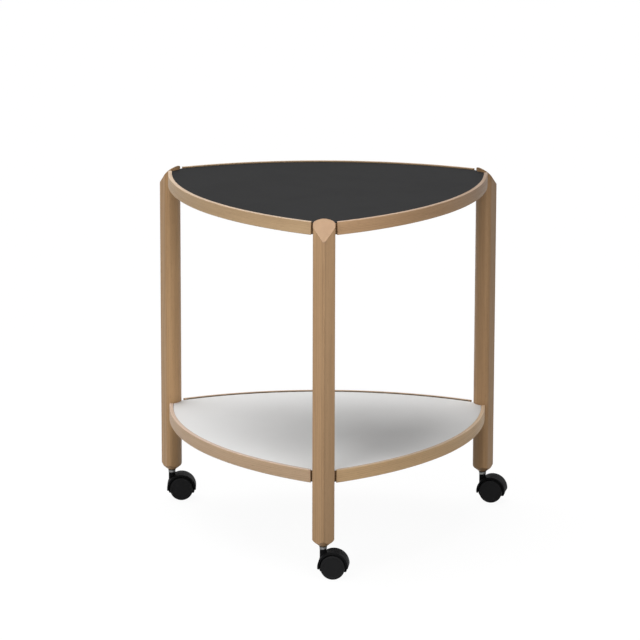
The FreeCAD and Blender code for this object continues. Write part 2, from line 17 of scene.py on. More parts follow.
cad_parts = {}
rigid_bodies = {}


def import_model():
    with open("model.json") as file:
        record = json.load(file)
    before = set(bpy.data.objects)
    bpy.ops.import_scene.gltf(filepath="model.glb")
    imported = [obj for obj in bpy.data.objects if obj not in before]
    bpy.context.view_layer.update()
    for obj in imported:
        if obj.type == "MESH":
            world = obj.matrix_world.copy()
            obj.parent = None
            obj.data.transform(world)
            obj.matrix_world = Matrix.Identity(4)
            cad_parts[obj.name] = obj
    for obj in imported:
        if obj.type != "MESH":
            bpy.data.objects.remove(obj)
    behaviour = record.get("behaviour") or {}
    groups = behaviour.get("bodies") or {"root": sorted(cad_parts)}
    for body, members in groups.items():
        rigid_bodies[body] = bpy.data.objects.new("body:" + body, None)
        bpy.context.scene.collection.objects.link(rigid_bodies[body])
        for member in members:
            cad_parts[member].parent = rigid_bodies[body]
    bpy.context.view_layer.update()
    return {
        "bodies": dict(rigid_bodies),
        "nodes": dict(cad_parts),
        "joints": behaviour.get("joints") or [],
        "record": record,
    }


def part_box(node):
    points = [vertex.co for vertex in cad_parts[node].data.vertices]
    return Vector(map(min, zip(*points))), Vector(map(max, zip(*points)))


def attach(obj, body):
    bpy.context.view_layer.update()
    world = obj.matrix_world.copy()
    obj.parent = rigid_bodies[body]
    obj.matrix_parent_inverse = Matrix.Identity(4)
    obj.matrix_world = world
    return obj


LOG = logging.getLogger("rolling_table")
MM = 0.001

Colour = tuple[float, float, float]
Triple = tuple[float, float, float]
Span = tuple[float, float]
Feed = Union[bpy.types.NodeSocket, float, int, Sequence[float]]

WHITE: Colour = (1.0, 1.0, 1.0)
VALUE = "NodeSocketFloat"
VECTOR = "NodeSocketVector"
COLOUR = "NodeSocketColor"


class Bearing(Enum):
    """Named directions about the table's axis, in degrees."""

    @property
    def node(self) -> str:
        """The direction's name in node names."""
        return self.name.lower()

    @property
    def turn(self) -> float:
        """The direction in radians."""
        return math.radians(self.value)

    @property
    def outward(self) -> Vector:
        """The direction as a level vector."""
        return Vector((math.cos(self.turn), math.sin(self.turn), 0.0))


class Corner(Bearing):
    """The three corners of the table."""

    FRONT = -90.0
    REAR_LEFT = 150.0
    REAR_RIGHT = 30.0


class Side(Bearing):
    """The three sides of a tray, each with the direction that its band bulges to."""

    REAR = 90.0
    LEFT = -150.0
    RIGHT = -30.0


class Level(Enum):
    """The two trays."""

    UPPER = "upper"
    LOWER = "lower"


@dataclass(frozen=True)
class Noise:
    """A noise pattern: its scale along each axis, its octaves and how strongly the finer ones show."""

    scales: Triple
    detail: float = 2.0
    rough: float = 0.5


@dataclass(frozen=True)
class Relief:
    """A finish's relief: how deep it is and how strongly it shows."""

    depth: float
    strength: float


class Graph:
    """A node tree that is being wired, with short calls for what the finishes need."""

    def __init__(self, tree: bpy.types.NodeTree) -> None:
        """Starts on a tree.

        Args:
            tree: the material's or group's node tree.
        """
        self.tree = tree

    def add(self, kind: str, **settings: Any) -> bpy.types.Node:
        """Adds one node.

        Args:
            kind: the node's type name.
            settings: properties to set on it.

        Returns:
            The new node.
        """
        node = self.tree.nodes.new(kind)
        for name, value in settings.items():
            setattr(node, name, value)
        return node

    def feed(self, socket: bpy.types.NodeSocket, value: Feed) -> None:
        """Links a socket to another one, or sets its value.

        Args:
            socket: the input to feed.
            value: an output socket or a constant, where a colour has its three shares.
        """
        if isinstance(value, bpy.types.NodeSocket):
            self.tree.links.new(value, socket)
        elif socket.type == "RGBA":
            socket.default_value = (*value, 1.0)
        else:
            socket.default_value = value

    def supply(self, node: bpy.types.Node, **values: Feed) -> None:
        """Feeds several inputs of a node.

        Args:
            node: the node.
            values: what its inputs are fed with; underscores stand for spaces.
        """
        for name, value in values.items():
            self.feed(node.inputs[name.replace("_", " ")], value)

    def group(self, tree: bpy.types.NodeTree, **values: Feed) -> bpy.types.Node:
        """Places a node group.

        Args:
            tree: the group's tree.
            values: what its inputs are fed with; underscores stand for spaces.

        Returns:
            The group's node.
        """
        node = self.add("ShaderNodeGroup", node_tree=tree)
        self.supply(node, **values)
        return node

    def math(self, operation: str, *values: Feed, clamp: bool = False) -> bpy.types.NodeSocket:
        """A Math node.

        Args:
            operation: its operation.
            values: what its inputs are fed with, in order.
            clamp: whether the result is held between 0 and 1.

        Returns:
            Its value.
        """
        node = self.add("ShaderNodeMath", operation=operation, use_clamp=clamp)
        for socket, value in zip(node.inputs, values):
            self.feed(socket, value)
        return node.outputs[0]

    def vector(self, operation: str, *values: Feed) -> bpy.types.Node:
        """A Vector Math node.

        Args:
            operation: its operation.
            values: what its inputs are fed with, in order.

        Returns:
            The node, with outputs Vector and Value.
        """
        node = self.add("ShaderNodeVectorMath", operation=operation)
        for socket, value in zip(node.inputs, values):
            self.feed(socket, value)
        return node

    def split(self, place: Feed) -> tuple[bpy.types.NodeSocket, ...]:
        """Takes coordinates apart.

        Args:
            place: the coordinates.

        Returns:
            X, Y and Z.
        """
        node = self.add("ShaderNodeSeparateXYZ")
        self.feed(node.inputs[0], place)
        return tuple(node.outputs)

    def off_axis(self, place: Feed) -> bpy.types.NodeSocket:
        """Measures how far a place is from the Z axis.

        Args:
            place: the coordinates.

        Returns:
            The distance.
        """
        level = self.vector("MULTIPLY", place, (1.0, 1.0, 0.0)).outputs[0]
        return self.vector("LENGTH", level).outputs["Value"]

    def noise(
        self, place: Feed, scale: Feed = 1.0, detail: float = 2.0, rough: float = 0.5
    ) -> bpy.types.NodeSocket:
        """A noise value.

        Args:
            place: the coordinates.
            scale: the noise's scale.
            detail: its octaves.
            rough: how strongly the finer octaves show.

        Returns:
            The value, around 0.5.
        """
        node = self.add("ShaderNodeTexNoise", noise_dimensions="3D")
        self.supply(node, Vector=place, Scale=scale, Detail=detail, Roughness=rough)
        return node.outputs["Fac"]

    def pattern(self, place: Feed, noise: Noise) -> bpy.types.NodeSocket:
        """A noise value with a scale of its own along each axis.

        Args:
            place: the coordinates.
            noise: the pattern.

        Returns:
            The value, around 0.5.
        """
        stretched = self.vector("MULTIPLY", place, noise.scales).outputs[0]
        return self.noise(stretched, detail=noise.detail, rough=noise.rough)

    def remap(self, value: Feed, span: Span, result: Span = (0.0, 1.0)) -> bpy.types.NodeSocket:
        """Maps one range onto another, smoothly and held at its ends.

        Args:
            value: what is mapped.
            span: the two values that become the two of result.
            result: what they become.

        Returns:
            The mapped value.
        """
        node = self.add("ShaderNodeMapRange", interpolation_type="SMOOTHSTEP")
        self.supply(node, Value=value, From_Min=span[0], From_Max=span[1], To_Min=result[0], To_Max=result[1])
        return node.outputs["Result"]

    def blend(self, factor: Feed, first: Feed, second: Feed, way: str = "MIX") -> bpy.types.NodeSocket:
        """Mixes two colours.

        Args:
            factor: how much of the second one shows.
            first: the colour below.
            second: the colour above.
            way: the blending mode.

        Returns:
            The mixed colour.
        """
        node = self.add("ShaderNodeMix", data_type="RGBA", blend_type=way)
        for name, value in (("Factor_Float", factor), ("A_Color", first), ("B_Color", second)):
            socket = next(found for found in node.inputs if found.identifier == name)
            self.feed(socket, value)
        return next(found for found in node.outputs if found.identifier == "Result_Color")

    def seen(self) -> bpy.types.NodeSocket:
        """Tells what the camera sees, also as a reflection or through glass, from what only gives light.

        Returns:
            A mask that is 1 for what the camera sees.
        """
        path = self.add("ShaderNodeLightPath").outputs
        direct = self.math("MAXIMUM", path["Is Camera Ray"], path["Is Transmission Ray"])
        return self.math("MAXIMUM", direct, path["Is Glossy Ray"])


def new_group(name: str, inputs: dict[str, str], outputs: dict[str, str]) -> tuple[Graph, Any, Any]:
    """Starts a node group.

    Args:
        name: the group's name.
        inputs: the name and socket type of each input.
        outputs: the name and socket type of each output.

    Returns:
        The graph to wire, the sockets that the group is given and its output node.
    """
    tree = bpy.data.node_groups.new(name, "ShaderNodeTree")
    for way, sockets in (("INPUT", inputs), ("OUTPUT", outputs)):
        for title, kind in sockets.items():
            tree.interface.new_socket(name=title, in_out=way, socket_type=kind)
    graph = Graph(tree)
    return graph, graph.add("NodeGroupInput").outputs, graph.add("NodeGroupOutput")


def make_bent_run() -> bpy.types.NodeTree:
    """The group that unrolls a bent band, so that its grain follows the bend.

    Returns:
        A group from coordinates about the arc's centre to depth, height and length along the bend.
    """
    graph, given, out = new_group("bent_run", {"Vector": VECTOR, "Radius": VALUE}, {"Vector": VECTOR})
    along, across, height = graph.split(given["Vector"])
    angle = graph.math("ARCTAN2", across, along)
    joined = graph.add("ShaderNodeCombineXYZ")
    graph.supply(
        joined,
        X=graph.math("SUBTRACT", graph.off_axis(given["Vector"]), given["Radius"]),
        Y=height,
        Z=graph.math("MULTIPLY", angle, given["Radius"]),
    )
    graph.supply(out, Vector=joined.outputs[0])
    return graph.tree


@dataclass(frozen=True)
class OakFigure:
    """Oak drawn in a solid block with its grain along Z: rings, broad streaks, fibre, pores and flecks."""

    sway: Noise = Noise((9.0, 9.0, 1.6))
    sway_rings: float = 7.0
    ripple: Noise = Noise((60.0, 60.0, 5.0))
    ripple_rings: float = 1.3
    early_end: float = 0.55
    late_start: float = 0.86
    porous_tone: float = 0.34
    porous_roughness: float = 0.08
    porous_depth: float = 0.3
    broad: Noise = Noise((55.0, 55.0, 2.2), detail=3.0, rough=0.6)
    broad_span: Span = (0.3, 0.72)
    broad_tone: Span = (-0.22, 0.3)
    fibre: Noise = Noise((900.0, 900.0, 14.0), detail=3.0, rough=0.65)
    fibre_span: Span = (0.3, 0.7)
    fibre_tone: Span = (-0.16, 0.22)
    fibre_roughness: Span = (0.42, 0.52)
    fibre_height: float = 0.35
    pore: Noise = Noise((2600.0, 2600.0, 95.0), detail=1.0)
    pore_span: Span = (0.6, 0.7)
    pores_in_dense: float = 0.2
    pore_strength: float = 0.75
    pore_colour: Colour = (0.11, 0.062, 0.03)
    fleck: Noise = Noise((1400.0, 220.0, 130.0), detail=1.0)
    fleck_span: Span = (0.66, 0.76)
    fleck_lift: float = 0.2
    base_shade: float = 0.12

    def build(self) -> bpy.types.NodeTree:
        """Builds the group.

        Returns:
            A group from coordinates to colour, roughness and height.
        """
        inputs = {
            "Vector": VECTOR,
            "Light Colour": COLOUR,
            "Dark Colour": COLOUR,
            "Ring Width": VALUE,
            "Contrast": VALUE,
        }
        outputs = {"Color": COLOUR, "Roughness": VALUE, "Height": VALUE}
        graph, given, out = new_group("oak_figure", inputs, outputs)
        place, contrast = given["Vector"], given["Contrast"]
        rings = graph.math("DIVIDE", graph.off_axis(place), given["Ring Width"])
        swayed = graph.math("MULTIPLY_ADD", graph.pattern(place, self.sway), self.sway_rings, rings)
        rippled = graph.math("MULTIPLY_ADD", graph.pattern(place, self.ripple), self.ripple_rings, swayed)
        phase = graph.math("FRACT", rippled)
        early = graph.remap(phase, (0.0, self.early_end), (1.0, 0.0))
        late = graph.remap(phase, (self.late_start, 1.0))
        porous = graph.math("MAXIMUM", early, late)
        broad = graph.remap(graph.pattern(place, self.broad), self.broad_span, self.broad_tone)
        tone = graph.math("MULTIPLY_ADD", porous, self.porous_tone, broad)
        fibre = graph.pattern(place, self.fibre)
        streaked = graph.math("ADD", tone, graph.remap(fibre, self.fibre_span, self.fibre_tone))
        fleck = graph.remap(graph.pattern(place, self.fleck), self.fleck_span, (0.0, self.fleck_lift))
        lifted = graph.math("SUBTRACT", streaked, fleck)
        shade = graph.math("MULTIPLY_ADD", lifted, contrast, self.base_shade, clamp=True)
        wood = graph.blend(shade, given["Light Colour"], given["Dark Colour"])
        pore_share = graph.math("MULTIPLY_ADD", porous, 1.0 - self.pores_in_dense, self.pores_in_dense)
        all_pores = graph.remap(graph.pattern(place, self.pore), self.pore_span)
        pores = graph.math("MULTIPLY", all_pores, pore_share)
        pore_shade = graph.math("MULTIPLY", pores, graph.math("MULTIPLY", contrast, self.pore_strength))
        rough = graph.remap(fibre, self.fibre_span, self.fibre_roughness)
        grooves = graph.math("SUBTRACT", graph.math("MULTIPLY", fibre, self.fibre_height), pores)
        graph.supply(
            out,
            Color=graph.blend(pore_shade, wood, self.pore_colour),
            Roughness=graph.math("MULTIPLY_ADD", porous, self.porous_roughness, rough),
            Height=graph.math("SUBTRACT", grooves, graph.math("MULTIPLY", porous, self.porous_depth)),
        )
        return graph.tree


@dataclass(frozen=True)
class EdgeRub:
    """Worn edges, found from how far a rounded normal leaves the true one."""

    samples: int = 4
    agreement_span: Span = (0.995, 0.86)
    patch_span: Span = (0.35, 0.65)

    def build(self) -> bpy.types.NodeTree:
        """Builds the group.

        Returns:
            A group from coordinates, a radius and a patchiness to a mask.
        """
        inputs = {"Vector": VECTOR, "Radius": VALUE, "Patchiness": VALUE}
        graph, given, out = new_group("edge_rub", inputs, {"Mask": VALUE})
        rounded = graph.add("ShaderNodeBevel", samples=self.samples)
        graph.supply(rounded, Radius=given["Radius"])
        normal = graph.add("ShaderNodeNewGeometry").outputs["Normal"]
        agreement = graph.vector("DOT_PRODUCT", rounded.outputs[0], normal).outputs["Value"]
        edge = graph.remap(agreement, self.agreement_span)
        patch = graph.remap(graph.noise(given["Vector"], given["Patchiness"]), self.patch_span)
        graph.supply(out, Mask=graph.math("MULTIPLY", edge, patch))
        return graph.tree


@dataclass(frozen=True)
class FineSkin:
    """The fine surface of sheets and mouldings, with faint handling marks."""

    pebble_span: Span = (0.3, 0.7)
    mark_detail: float = 5.0
    mark_rough: float = 0.62
    mark_span: Span = (0.4, 0.66)

    def build(self) -> bpy.types.NodeTree:
        """Builds the group.

        Returns:
            A group from coordinates and two scales to height, mottling and marks.
        """
        inputs = {"Vector": VECTOR, "Pebble Scale": VALUE, "Mark Scale": VALUE}
        outputs = {"Height": VALUE, "Mottle": VALUE, "Marks": VALUE}
        graph, given, out = new_group("fine_skin", inputs, outputs)
        pebble = graph.noise(given["Vector"], given["Pebble Scale"])
        mark = graph.noise(given["Vector"], given["Mark Scale"], self.mark_detail, self.mark_rough)
        graph.supply(
            out,
            Height=pebble,
            Mottle=graph.remap(pebble, self.pebble_span),
            Marks=graph.remap(mark, self.mark_span),
        )
        return graph.tree


@dataclass(frozen=True)
class Tools:
    """The shader groups that the finishes share."""

    bent_run: bpy.types.NodeTree
    oak_figure: bpy.types.NodeTree
    edge_rub: bpy.types.NodeTree
    fine_skin: bpy.types.NodeTree

    @classmethod
    def build(cls) -> "Tools":
        """Builds each group once."""
        return cls(make_bent_run(), OakFigure().build(), EdgeRub().build(), FineSkin().build())


@dataclass(frozen=True)
class Finish:
    """What every finish has: a name and a principled surface to wire."""

    name: str

    def start(self) -> tuple[bpy.types.Material, Graph, bpy.types.Node]:
        """Starts a material.

        Returns:
            The material, its graph and its principled shader.
        """
        material = bpy.data.materials.new(self.name)
        material.use_nodes = True
        return material, Graph(material.node_tree), material.node_tree.nodes["Principled BSDF"]

    @staticmethod
    def place(
        graph: Graph, origin: Sequence[float] = (0.0, 0.0, 0.0), turn: float = 0.0
    ) -> bpy.types.NodeSocket:
        """Coordinates in a piece's own frame.

        Args:
            graph: the material's graph.
            origin: the frame's origin.
            turn: the frame's turn about Z, in radians.

        Returns:
            The coordinates.
        """
        coordinates = graph.add("ShaderNodeTexCoord").outputs["Object"]
        mapping = graph.add("ShaderNodeMapping", vector_type="TEXTURE")
        graph.supply(mapping, Vector=coordinates, Location=origin, Rotation=(0.0, 0.0, turn))
        return mapping.outputs["Vector"]

    @staticmethod
    def bump(graph: Graph, height: Feed, relief: Relief) -> bpy.types.NodeSocket:
        """A surface's normals with its relief.

        Args:
            graph: the material's graph.
            height: the relief, from 0 to 1.
            relief: how deep 1 is, and how strongly it shows.

        Returns:
            The normals.
        """
        node = graph.add("ShaderNodeBump")
        graph.supply(node, Strength=relief.strength, Distance=relief.depth, Height=height)
        return node.outputs["Normal"]


@dataclass(frozen=True)
class Stock:
    """The wood of one piece: its tree's heart beside it, its tone, and how the tone drifts for each metre.

    The tone and the drift are partly the wood's own and partly painted light and shade.
    """

    heart: Triple
    tone: Colour = WHITE
    drift: float = 0.0


@dataclass(frozen=True)
class OakFinish(Finish):
    """Oiled oak, sawn from a block whose heart lies at one side of the piece."""

    stock: Stock
    light: Colour = (0.495, 0.325, 0.172)
    dark: Colour = (0.305, 0.185, 0.09)
    ring_width: float = 2.4 * MM
    contrast: float = 0.6
    rub: Colour = (0.33, 0.2, 0.11)
    rub_share: float = 0.5
    rub_radius: float = 1.2 * MM
    rub_patchiness: float = 120.0
    specular: float = 0.22
    relief: Relief = Relief(depth=0.06 * MM, strength=0.55)

    def wire(
        self,
        tools: Tools,
        graph: Graph,
        shader: bpy.types.Node,
        run: Feed,
        place: Feed,
        painted_light: Feed,
        wear: Feed,
    ) -> None:
        """Wires the oak to its shader, with the piece's tone and its drift.

        Args:
            tools: the shared groups.
            graph: the material's graph.
            shader: its principled shader.
            run: coordinates with the grain along Z, from the middle of the piece.
            place: coordinates for the wear.
            painted_light: the painted shade and sheen that the colour is multiplied with, from place to
                place.
            wear: how strongly the rubbed edges show.
        """
        figure = graph.group(
            tools.oak_figure,
            Vector=graph.vector("SUBTRACT", run, self.stock.heart).outputs[0],
            Light_Colour=self.light,
            Dark_Colour=self.dark,
            Ring_Width=self.ring_width,
            Contrast=self.contrast,
        )
        rub = graph.group(
            tools.edge_rub, Vector=place, Radius=self.rub_radius, Patchiness=self.rub_patchiness
        ).outputs["Mask"]
        rubbed = graph.blend(graph.math("MULTIPLY", rub, wear), figure.outputs["Color"], self.rub)
        # the piece's tone and drift: partly the wood's own and partly painted light and shade
        drifted = graph.math("MULTIPLY_ADD", graph.split(run)[2], self.stock.drift, 1.0)
        toned = graph.blend(1.0, rubbed, self.stock.tone, "MULTIPLY")
        shaded = graph.blend(1.0, toned, drifted, "MULTIPLY")
        graph.supply(
            shader,
            # the painted shade and sheen are multiplied into the colour here
            Base_Color=graph.blend(1.0, shaded, painted_light, "MULTIPLY"),
            Roughness=figure.outputs["Roughness"],
            Specular_IOR_Level=self.specular,
            Normal=self.bump(graph, figure.outputs["Height"], self.relief),
        )


@dataclass(frozen=True)
class CapPlane:
    """The slanted plane of a leg's cap, in the leg's own frame, where X points outward."""

    top: float = 600.0 * MM
    inner_depth: float = 15.0 * MM
    slope: float = math.radians(42.5)

    @property
    def normal(self) -> Vector:
        """The direction that the cap faces."""
        return Vector((math.sin(self.slope), 0.0, math.cos(self.slope)))

    @property
    def point(self) -> Vector:
        """The plane's highest point, at the leg's inner side."""
        return Vector((-self.inner_depth, 0.0, self.top))


@dataclass(frozen=True)
class SolidOak(OakFinish):
    """Oak with straight upright grain, for a leg, with painted shade along its ridge and a painted sheen on
    its cap.

    The ridge's painted shade and the wear come in over a span of distances from the leg's axis, and the cap's
    painted sheen over a span of depths under its plane.
    """

    ridge_span: Span = (16.6 * MM, 21.1 * MM)
    ridge_painted_shade: float = 0.78
    cap: CapPlane = CapPlane()
    cap_depths: Span = (0.9 * MM, 0.4 * MM)
    cap_painted_sheen: Colour = (0.94, 0.975, 1.12)
    worn_span: Span = (3.5 * MM, 5.0 * MM)

    def build(self, tools: Tools, axis: Vector, turn: float) -> bpy.types.Material:
        """Makes the material.

        Args:
            tools: the shared groups.
            axis: the leg's axis.
            turn: the leg's direction in radians.

        Returns:
            The material.
        """
        material, graph, shader = self.start()
        place = self.place(graph, axis, turn)
        # painted shade: the ridge's colour is darkened to stand for the shade along it
        ridge = graph.remap(graph.split(place)[0], self.ridge_span, (1.0, self.ridge_painted_shade))
        # painted sheen: the slanted cap's colour is made paler and bluer to stand for the light it catches
        # from above
        reach = graph.vector("DOT_PRODUCT", place, self.cap.normal).outputs["Value"]
        cap_reach = self.cap.normal.dot(self.cap.point)
        cap = graph.remap(reach, (cap_reach - self.cap_depths[0], cap_reach - self.cap_depths[1]))
        painted_light = graph.blend(cap, ridge, self.cap_painted_sheen, "MULTIPLY")
        wear = graph.math("MULTIPLY", graph.remap(graph.off_axis(place), self.worn_span), self.rub_share)
        self.wire(tools, graph, shader, place, place, painted_light, wear)
        return material


@dataclass(frozen=True)
class BentOak(OakFinish):
    """Oak with its grain along a bent band, with painted shade on the side by the board and a painted sheen
    along its top.

    inner_side is the depth of the band's inner face and top_edge the height of its top. The painted shade and
    the painted sheen each fade over a span of distances from there.
    """

    rub: Colour = (0.62, 0.45, 0.29)
    rub_share: float = 0.1
    inner_side: float = 0.0
    inner_fade: Span = (0.05 * MM, 0.35 * MM)
    inner_painted_shade: float = 1.0
    top_edge: float = 0.0
    top_fade: Span = (0.8 * MM, 0.2 * MM)
    top_painted_sheen: Colour = (1.12, 1.22, 1.5)

    def build(self, tools: Tools, centre: Vector, turn: float, radius: float) -> bpy.types.Material:
        """Makes the material.

        Args:
            tools: the shared groups.
            centre: the centre of the band's arc.
            turn: the band's direction in radians.
            radius: the band's radius.

        Returns:
            The material.
        """
        material, graph, shader = self.start()
        place = self.place(graph, centre, turn)
        straight = graph.group(tools.bent_run, Vector=place, Radius=radius).outputs["Vector"]
        depth, height, _ = graph.split(straight)
        inner_span = tuple(self.inner_side + fade for fade in self.inner_fade)
        top_span = tuple(self.top_edge - fade for fade in self.top_fade)
        # painted shade on the band's inner face by the board, and painted sheen, paler and bluer, along its
        # top
        inner = graph.remap(depth, inner_span, (self.inner_painted_shade, 1.0))
        painted_light = graph.blend(graph.remap(height, top_span), inner, self.top_painted_sheen, "MULTIPLY")
        self.wire(tools, graph, shader, straight, place, painted_light, self.rub_share)
        return material


@dataclass(frozen=True)
class LaminateFinish(Finish):
    """A pressed sheet with a fine matt surface and faint handling marks."""

    colour: Colour
    mottled: Colour
    roughness: float
    specular: float
    marks: float = 0.1
    mottle_share: float = 0.35
    pebble_scale: float = 1500.0
    mark_scale: float = 14.0
    relief: Relief = Relief(depth=0.02 * MM, strength=0.4)

    def build(self, tools: Tools) -> bpy.types.Material:
        """Makes the material.

        Args:
            tools: the shared groups.

        Returns:
            The material.
        """
        material, graph, shader = self.start()
        place = self.place(graph)
        skin = graph.group(
            tools.fine_skin, Vector=place, Pebble_Scale=self.pebble_scale, Mark_Scale=self.mark_scale
        ).outputs
        spots = graph.math("MULTIPLY", skin["Mottle"], self.mottle_share)
        graph.supply(
            shader,
            Base_Color=graph.blend(spots, self.colour, self.mottled),
            Roughness=graph.math("MULTIPLY_ADD", skin["Marks"], self.marks, self.roughness),
            Specular_IOR_Level=self.specular,
            Normal=self.bump(graph, skin["Height"], self.relief),
        )
        return material


@dataclass(frozen=True)
class LayeredWood(Finish):
    """Bare wood with its layers one above another, such as the edge of a board."""

    light: Colour = (0.42, 0.28, 0.16)
    dark: Colour = (0.3, 0.19, 0.1)
    layer: float = 1.4 * MM
    layer_share: float = 0.3
    shade_span: Span = (0.2, 0.8)
    grain: Noise = Noise((220.0, 220.0, 900.0), detail=4.0, rough=0.6)
    grain_span: Span = (0.3, 0.7)
    roughness: Span = (0.6, 0.75)
    relief: Relief = Relief(depth=0.08 * MM, strength=0.6)

    def build(self) -> bpy.types.Material:
        """Makes the material.

        Returns:
            The material.
        """
        material, graph, shader = self.start()
        place = self.place(graph)
        layers = graph.math("SINE", graph.math("MULTIPLY", graph.split(place)[2], math.pi / self.layer))
        grain = graph.pattern(place, self.grain)
        shade = graph.remap(graph.math("MULTIPLY_ADD", layers, self.layer_share, grain), self.shade_span)
        graph.supply(
            shader,
            Base_Color=graph.blend(shade, self.light, self.dark),
            Roughness=graph.remap(grain, self.grain_span, self.roughness),
            Normal=self.bump(graph, grain, self.relief),
        )
        return material


@dataclass(frozen=True)
class MetalFinish(Finish):
    """Plated or turned metal with fine tool lines round its axis."""

    colour: Colour
    roughness: float
    roughness_range: Span = (-0.08, 0.12)
    lines: Noise = Noise((260.0, 260.0, 5200.0))
    line_span: Span = (0.3, 0.7)
    pebble_scale: float = 4000.0
    mark_scale: float = 90.0
    mark_share: float = 0.25
    mark_shade: float = 0.72
    relief: Relief = Relief(depth=0.01 * MM, strength=0.5)

    def build(self, tools: Tools) -> bpy.types.Material:
        """Makes the material.

        Args:
            tools: the shared groups.

        Returns:
            The material.
        """
        material, graph, shader = self.start()
        place = self.place(graph)
        lines = graph.pattern(place, self.lines)
        skin = graph.group(
            tools.fine_skin, Vector=place, Pebble_Scale=self.pebble_scale, Mark_Scale=self.mark_scale
        ).outputs
        dull = graph.math("MULTIPLY", skin["Marks"], self.mark_share)
        darker = tuple(self.mark_shade * share for share in self.colour)
        rough = tuple(self.roughness + change for change in self.roughness_range)
        graph.supply(
            shader,
            Base_Color=graph.blend(dull, self.colour, darker),
            Metallic=1.0,
            Roughness=graph.remap(lines, self.line_span, rough),
            Normal=self.bump(graph, lines, self.relief),
        )
        return material


@dataclass(frozen=True)
class NylonFinish(Finish):
    """Black moulded nylon with a fine spark-eroded skin and edges that handling has paled."""

    colour: Colour
    worn: Colour
    roughness: float
    specular: float
    roughness_range: Span = (-0.04, 0.1)
    pebble_scale: float = 3000.0
    mark_scale: float = 60.0
    mark_share: float = 0.08
    rub_radius: float = 0.8 * MM
    rub_patchiness: float = 260.0
    rub_share: float = 0.35
    relief: Relief = Relief(depth=0.03 * MM, strength=0.5)

    def build(self, tools: Tools) -> bpy.types.Material:
        """Makes the material.

        Args:
            tools: the shared groups.

        Returns:
            The material.
        """
        material, graph, shader = self.start()
        place = self.place(graph)
        skin = graph.group(
            tools.fine_skin, Vector=place, Pebble_Scale=self.pebble_scale, Mark_Scale=self.mark_scale
        ).outputs
        rub = graph.group(
            tools.edge_rub, Vector=place, Radius=self.rub_radius, Patchiness=self.rub_patchiness
        ).outputs["Mask"]
        rubbed = graph.math("MULTIPLY", rub, self.rub_share)
        wear = graph.math("MULTIPLY_ADD", skin["Marks"], self.mark_share, rubbed)
        rough = tuple(self.roughness + change for change in self.roughness_range)
        graph.supply(
            shader,
            Base_Color=graph.blend(wear, self.colour, self.worn),
            Roughness=graph.remap(skin["Marks"], (0.0, 1.0), rough),
            Specular_IOR_Level=self.specular,
            Normal=self.bump(graph, skin["Height"], self.relief),
        )
        return material


@dataclass(frozen=True)
class Shared:
    """The materials of the boards, the fasteners and the casters."""

    core_board: bpy.types.Material
    beech: bpy.types.Material
    zinc_steel: bpy.types.Material
    bright_steel: bpy.types.Material
    brass: bpy.types.Material
    hood_nylon: bpy.types.Material
    wheel_nylon: bpy.types.Material
    socket_nylon: bpy.types.Material

    @classmethod
    def build(cls, tools: Tools) -> "Shared":
        """Makes each material once.

        Args:
            tools: the shared groups.

        Returns:
            The materials.
        """
        beech = LayeredWood("raw_beech", light=(0.52, 0.36, 0.22), dark=(0.42, 0.28, 0.17), layer=3.1 * MM)
        hood = NylonFinish(
            "hood_nylon",
            colour=(0.008, 0.008, 0.0085),
            worn=(0.022, 0.022, 0.022),
            roughness=0.5,
            specular=0.015,
        )
        wheel = NylonFinish(
            "wheel_nylon",
            colour=(0.0125, 0.0125, 0.013),
            worn=(0.032, 0.032, 0.032),
            roughness=0.55,
            specular=0.08,
        )
        socket = NylonFinish(
            "socket_nylon",
            colour=(0.01, 0.01, 0.009),
            worn=(0.03, 0.03, 0.03),
            roughness=0.6,
            specular=0.2,
        )
        return cls(
            core_board=LayeredWood("stained_core").build(),
            beech=beech.build(),
            zinc_steel=MetalFinish("zinc_plate", colour=(0.55, 0.56, 0.57), roughness=0.36).build(tools),
            # painted shade: the nickel plate's colour is set far darker than bright nickel, standing for the
            # shade round the stem under the leg
            bright_steel=MetalFinish("nickel_plate_shade_darkened", colour=(0.2, 0.2, 0.197), roughness=0.3).build(tools),
            brass=MetalFinish("turned_brass", colour=(0.68, 0.5, 0.22), roughness=0.3).build(tools),
            hood_nylon=hood.build(tools),
            wheel_nylon=wheel.build(tools),
            socket_nylon=socket.build(tools),
        )


def dress(frame: dict[str, Any], node: str, material: bpy.types.Material) -> None:
    """Gives a carried-over node its finish.

    Args:
        frame: the loaded frame.
        node: the node's name.
        material: its finish.
    """
    thing = frame["nodes"][node]
    thing.data.materials.clear()
    thing.data.materials.append(material)
    LOG.info("%s is finished in %s", node, material.name)


def link(name: str, data: bpy.types.ID) -> bpy.types.Object:
    """Adds an object to the scene.

    Args:
        name: its name.
        data: its mesh, lamp or camera.

    Returns:
        The object.
    """
    thing = bpy.data.objects.new(name, data)
    bpy.context.scene.collection.objects.link(thing)
    return thing


def make_object(name: str, shape: bmesh.types.BMesh, material: bpy.types.Material) -> bpy.types.Object:
    """Turns a finished shape into an object of the scene.

    Args:
        name: its name.
        shape: the shape, which is used up.
        material: its finish.

    Returns:
        The object.
    """
    mesh = bpy.data.meshes.new(name)
    shape.to_mesh(mesh)
    shape.free()
    mesh.materials.append(material)
    return link(name, mesh)


def direction(azimuth: float, elevation: float) -> Vector:
    """A direction seen from the table, where azimuth 0 points to the front.

    Args:
        azimuth: the angle round the table, in radians.
        elevation: the angle above the floor, in radians.

    Returns:
        The direction, of length 1.
    """
    level = math.cos(elevation)
    return Vector((math.sin(azimuth) * level, -math.cos(azimuth) * level, math.sin(elevation)))
